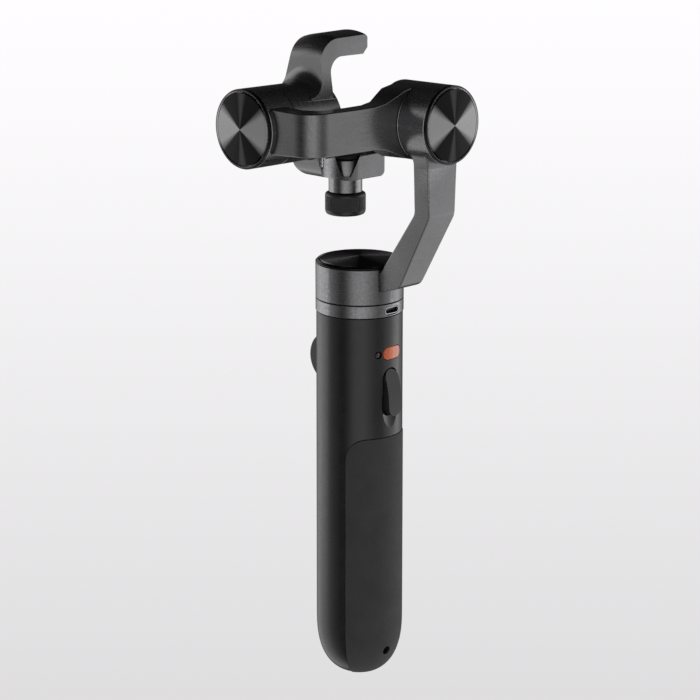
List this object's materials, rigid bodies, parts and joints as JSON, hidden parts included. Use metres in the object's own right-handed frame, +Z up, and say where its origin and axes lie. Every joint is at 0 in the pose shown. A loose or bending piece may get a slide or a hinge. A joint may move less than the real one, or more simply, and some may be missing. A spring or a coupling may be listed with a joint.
{
  "type": "camera gimbal stabilizer",
  "caption": "Handheld motorised gimbal for an action camera: round grip with trigger and rocker, cranked pan arm, bent roll bar and a screw clamp on the tilt motor.",
  "frame": {"origin": "centre of the flat ring at the handle's lower end, on the handle's axis, where a tripod or pole screws in", "axes": "+Z up the handle and along the pan axis, +Y the way the held camera looks, +X to the operator's right"},
  "size_m": [0.0838, 0.077, 0.2761],
  "materials": {
    "shell": "satin",
    "grip": "matte",
    "anodised": "satin",
    "arm": "satin",
    "spun": "brushed",
    "bright": "polished",
    "knob": "satin",
    "pad": "matte",
    "lamp": "gloss",
    "lamp_dark": "gloss",
    "steel": "satin",
    "brass": "satin",
    "magnet": "satin",
    "winding": "satin",
    "board": "matte",
    "cell": "satin",
    "inner": "matte"
  },
  "bodies": {
    "handle": {"handle_shell": "shell", "grip_pad": "grip", "tripod_bush": "brass", "collar_ring": "anodised", "charging_socket": "steel", "socket_tongue": "inner", "status_lens": "lamp", "dim_lens": "lamp_dark", "rocker_pin": "steel", "rocker_switch_lower": "steel", "rocker_switch_upper": "steel", "trigger_switch": "steel", "trigger_board": "board", "main_board": "board", "board_frame": "inner", "battery_sleeve": "inner", "battery_cell": "cell", "battery_contact_base": "steel", "battery_contact_top": "steel", "pan_stator": "winding", "pan_bearing_lower": "steel", "pan_bearing_upper": "steel"},
    "pan_arm": {"pan_arm": "arm", "pan_cap": "spun", "pan_cap_ring": "bright", "pan_magnet_ring": "magnet", "pan_shaft": "steel", "roll_cap": "spun", "roll_cap_ring": "bright", "roll_stator": "winding", "roll_bearing_inner": "steel", "roll_bearing_outer": "steel"},
    "roll_bar": {"roll_bar": "arm", "roll_shaft": "steel", "roll_magnet_ring": "magnet", "tilt_cap": "spun", "tilt_cap_ring": "bright", "tilt_stator": "winding", "tilt_bearing_inner": "steel", "tilt_bearing_outer": "steel"},
    "camera_holder": {"camera_holder": "arm", "tilt_shaft": "steel", "tilt_magnet_ring": "magnet", "motion_sensor_board": "board", "back_pad": "pad", "hook_pad": "pad", "lower_jaw": "arm", "jaw_lip_pad": "pad", "jaw_screw_rear": "steel", "jaw_screw_front": "steel"},
    "clamp_pad": {"clamp_pad": "pad"},
    "clamp_screw": {"clamp_barrel": "anodised", "clamp_knob": "knob"},
    "trigger": {"trigger": "shell"},
    "mode_rocker": {"mode_rocker": "shell"}
  },
  "joints": [
    {"name": "pan", "type": "hinge", "parent": "handle", "child": "pan_arm", "pos_m": [0, 0, 0.1735], "axis": [0, 0, 1], "range_deg": [-160, 160]},
    {"name": "roll", "type": "hinge", "parent": "pan_arm", "child": "roll_bar", "pos_m": [0, -0.03565, 0.2425], "axis": [0, 1, 0], "range_deg": [-45, 45]},
    {"name": "tilt", "type": "hinge", "parent": "roll_bar", "child": "camera_holder", "pos_m": [-0.04955, 0, 0.2425], "axis": [1, 0, 0], "range_deg": [-36, 38]},
    {"name": "clamp_advance", "type": "slide", "parent": "camera_holder", "child": "clamp_pad", "axis": [0, 0, 1], "range_m": [-0.003, 0.005]},
    {"name": "knob_turn", "type": "hinge", "parent": "clamp_pad", "child": "clamp_screw", "pos_m": [-0.0083, 0, 0.2066], "axis": [0, 0, 1], "range_deg": [-1080, 1800]},
    {"name": "trigger_press", "type": "slide", "parent": "handle", "child": "trigger", "axis": [0, -1, 0], "range_m": [0, 0.002], "stiffness_N_per_m": 800},
    {"name": "rocker_tilt", "type": "hinge", "parent": "handle", "child": "mode_rocker", "pos_m": [0, -0.0134, 0.1284], "axis": [1, 0, 0], "range_deg": [-5, 5], "stiffness_Nm_per_rad": 0.06}
  ],
  "couplings": [
    {"joint": "knob_turn", "follows": "clamp_advance", "rad_per_m": 6283.2}
  ]
}
